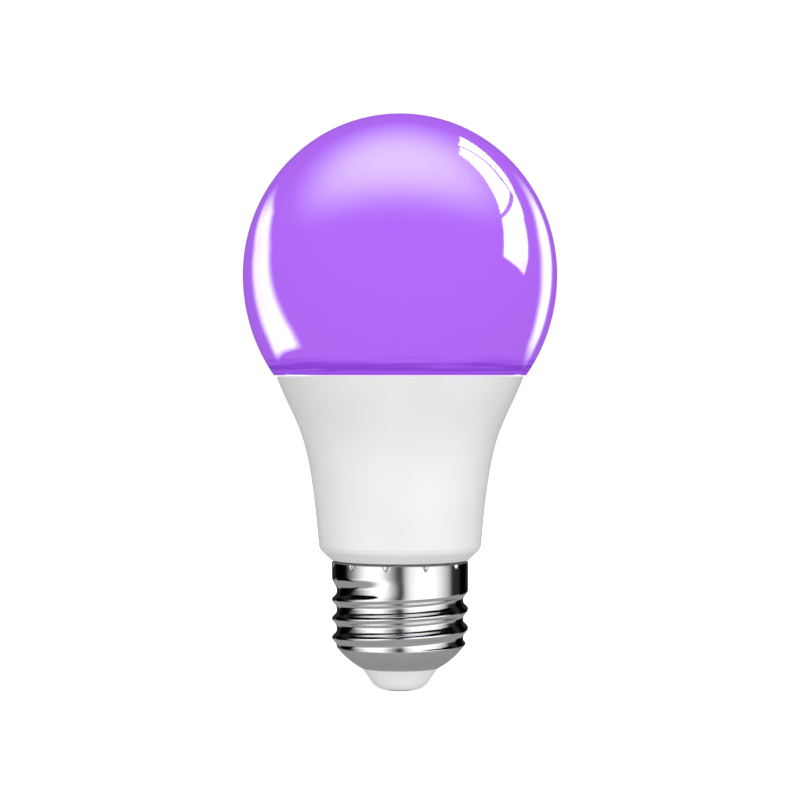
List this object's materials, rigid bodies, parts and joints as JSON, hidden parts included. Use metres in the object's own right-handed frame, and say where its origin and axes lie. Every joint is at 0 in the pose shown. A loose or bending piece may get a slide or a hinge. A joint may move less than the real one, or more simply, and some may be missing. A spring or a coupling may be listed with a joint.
{
  "type": "smart light bulb",
  "caption": "Round-topped LED bulb with a violet diffuser, a flared white housing and a screw cap; the driver and wireless board are inside.",
  "frame": {"origin": "on the bulb's axis, at the flat face of the centre contact", "axes": "+Z along the axis, from the centre contact up to the globe's crown; the screw thread starts facing -Y"},
  "size_m": [0.06, 0.06, 0.11],
  "materials": {
    "diffuser_polycarbonate": "glossy violet, evenly lit",
    "silicone": "matte",
    "housing_pbt": "satin white",
    "aluminium_sheet": "brushed",
    "thermal_silicone": "matte",
    "board_core": "milled",
    "white_solder_mask": "satin",
    "led_ceramic": "matte",
    "led_phosphor": "soft gel",
    "led_clear_lens": "clear",
    "zinc_plated_steel": "zinc plated",
    "gold_plated_pin": "plated",
    "black_nylon": "matte",
    "green_fr4": "solder mask",
    "blue_fr4": "solder mask",
    "tinned_can": "tinned",
    "epoxy_black": "moulded",
    "copper_trace": "bare",
    "ferrite": "matte",
    "bobbin_phenolic": "matte",
    "winding_tape": "taped",
    "film_cap_epoxy": "dipped",
    "capacitor_sleeve": "shrunk sleeve",
    "resistor_body": "coated",
    "heat_shrink": "shrunk",
    "tinned_copper": "tinned",
    "nickel_plated_brass": "bright nickel",
    "insulator_pbt": "moulded",
    "contact_nickel": "plated"
  },
  "bodies": {
    "root": {"diffuser_globe": "diffuser_polycarbonate", "globe_adhesive_bead": "silicone", "housing": "housing_pbt", "screw_shell": "nickel_plated_brass", "cap_insulator": "insulator_pbt", "centre_contact": "contact_nickel", "heat_sink_cup": "aluminium_sheet", "thermal_pad": "thermal_silicone", "led_board": "board_core", "reflective_mask": "white_solder_mask", "white_led_packages": "led_ceramic", "white_led_phosphors": "led_phosphor", "color_led_packages": "led_ceramic", "color_led_lenses": "led_clear_lens", "led_board_screws": "zinc_plated_steel", "driver_pins": "gold_plated_pin", "led_board_socket": "black_nylon", "wireless_board": "blue_fr4", "wireless_header": "black_nylon", "wireless_shield_can": "tinned_can", "wireless_chip": "epoxy_black", "antenna_trace": "copper_trace", "driver_board": "green_fr4", "transformer_core": "ferrite", "transformer_bobbin": "bobbin_phenolic", "transformer_winding": "winding_tape", "film_capacitor": "film_cap_epoxy", "input_capacitor": "capacitor_sleeve", "output_capacitor": "capacitor_sleeve", "bridge_rectifier": "epoxy_black", "driver_chip": "epoxy_black", "chip_resistors": "ferrite", "capacitor_leads": "tinned_copper", "fusible_resistor": "resistor_body", "resistor_sleeve": "heat_shrink", "live_lead": "tinned_copper", "neutral_lead": "tinned_copper"}
  },
  "joints": []
}
